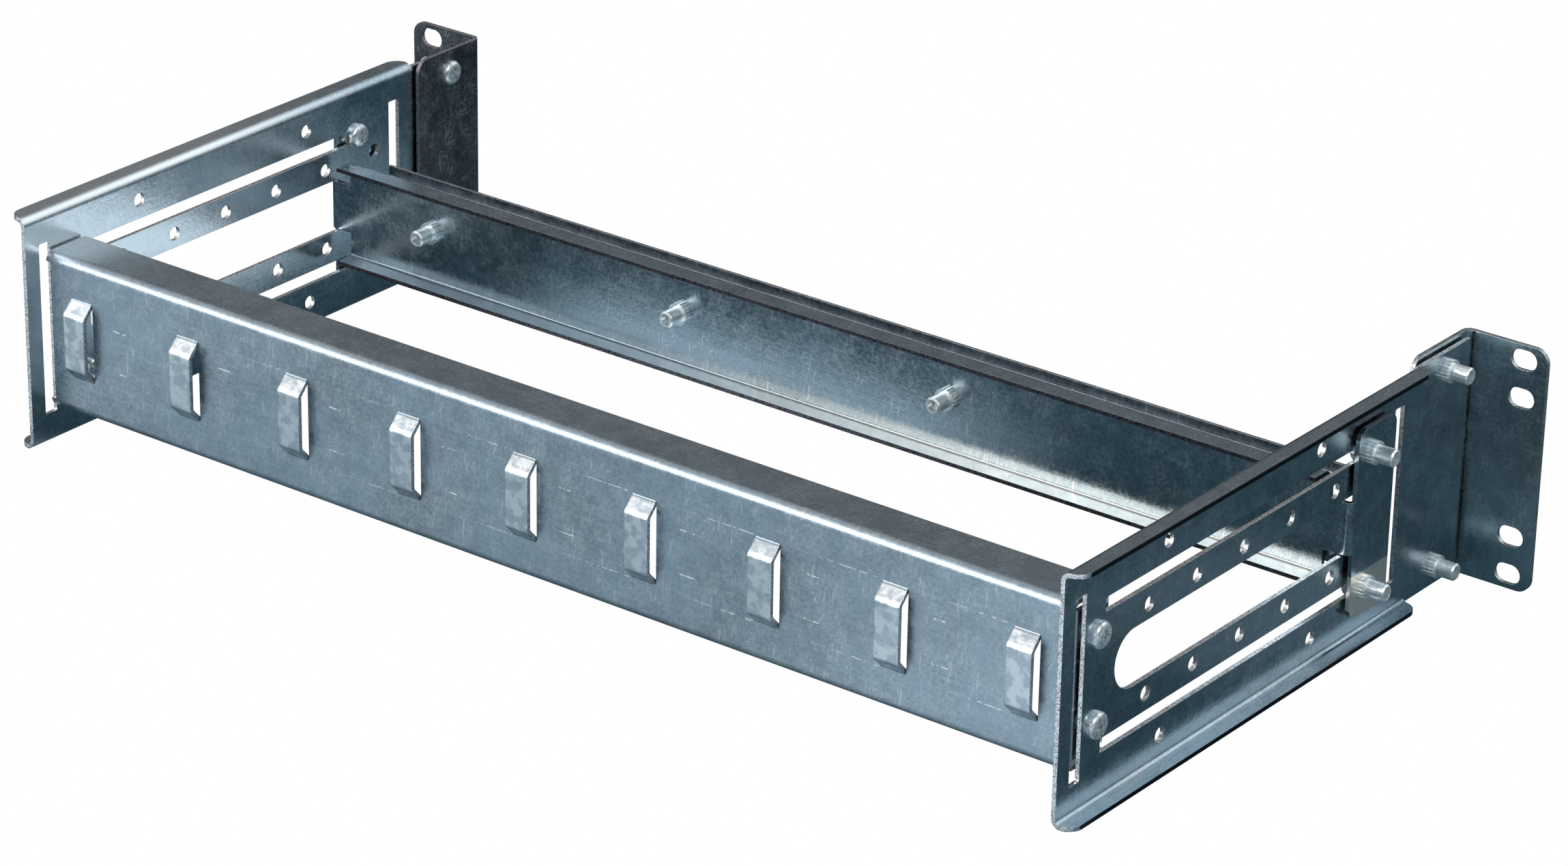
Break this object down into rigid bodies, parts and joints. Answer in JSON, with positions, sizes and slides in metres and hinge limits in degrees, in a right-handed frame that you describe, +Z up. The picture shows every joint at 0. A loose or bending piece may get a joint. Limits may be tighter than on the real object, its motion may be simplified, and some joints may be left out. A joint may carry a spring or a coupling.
{
  "type": "rack-mount din rail panel",
  "caption": "Galvanised rack frame with a top-hat rail between slotted side plates, a cable-tie bar in front and slotted rack ears.",
  "frame": {"origin": "middle of the width and height, on the face of the ears that bears on the rack's posts", "axes": "+X along the rails to the right, +Y from the cable bar to the ears, +Z up"},
  "size_m": [0.4826, 0.2327, 0.0866],
  "materials": {
    "galvanised_sheet": "zinc-plated, blue passivated, faintly mottled",
    "zinc_fastener": "bright zinc"
  },
  "bodies": {
    "root": {"left_side_plate": "galvanised_sheet", "right_side_plate": "galvanised_sheet", "front_rail": "galvanised_sheet", "rear_rail": "galvanised_sheet", "din_rail": "galvanised_sheet", "left_ear_bracket": "galvanised_sheet", "right_ear_bracket": "galvanised_sheet", "left_front_nut_lower": "zinc_fastener", "left_front_nut_upper": "zinc_fastener", "left_end_nut_lower": "zinc_fastener", "left_end_nut_upper": "zinc_fastener", "left_ear_nut_lower": "zinc_fastener", "left_ear_nut_upper": "zinc_fastener", "right_front_nut_lower": "zinc_fastener", "right_front_nut_upper": "zinc_fastener", "right_end_nut_lower": "zinc_fastener", "right_end_nut_upper": "zinc_fastener", "right_ear_nut_lower": "zinc_fastener", "right_ear_nut_upper": "zinc_fastener", "rail_nut_1": "zinc_fastener", "rail_nut_2": "zinc_fastener", "rail_nut_3": "zinc_fastener", "rail_nut_4": "zinc_fastener", "left_front_screw_lower": "zinc_fastener", "left_front_screw_upper": "zinc_fastener", "left_end_screw_lower": "zinc_fastener", "left_end_screw_upper": "zinc_fastener", "left_ear_screw_lower": "zinc_fastener", "left_ear_screw_upper": "zinc_fastener", "right_front_screw_lower": "zinc_fastener", "right_front_screw_upper": "zinc_fastener", "right_end_screw_lower": "zinc_fastener", "right_end_screw_upper": "zinc_fastener", "right_ear_screw_lower": "zinc_fastener", "right_ear_screw_upper": "zinc_fastener", "rail_screw_1": "zinc_fastener", "rail_screw_2": "zinc_fastener", "rail_screw_3": "zinc_fastener", "rail_screw_4": "zinc_fastener"}
  },
  "joints": []
}
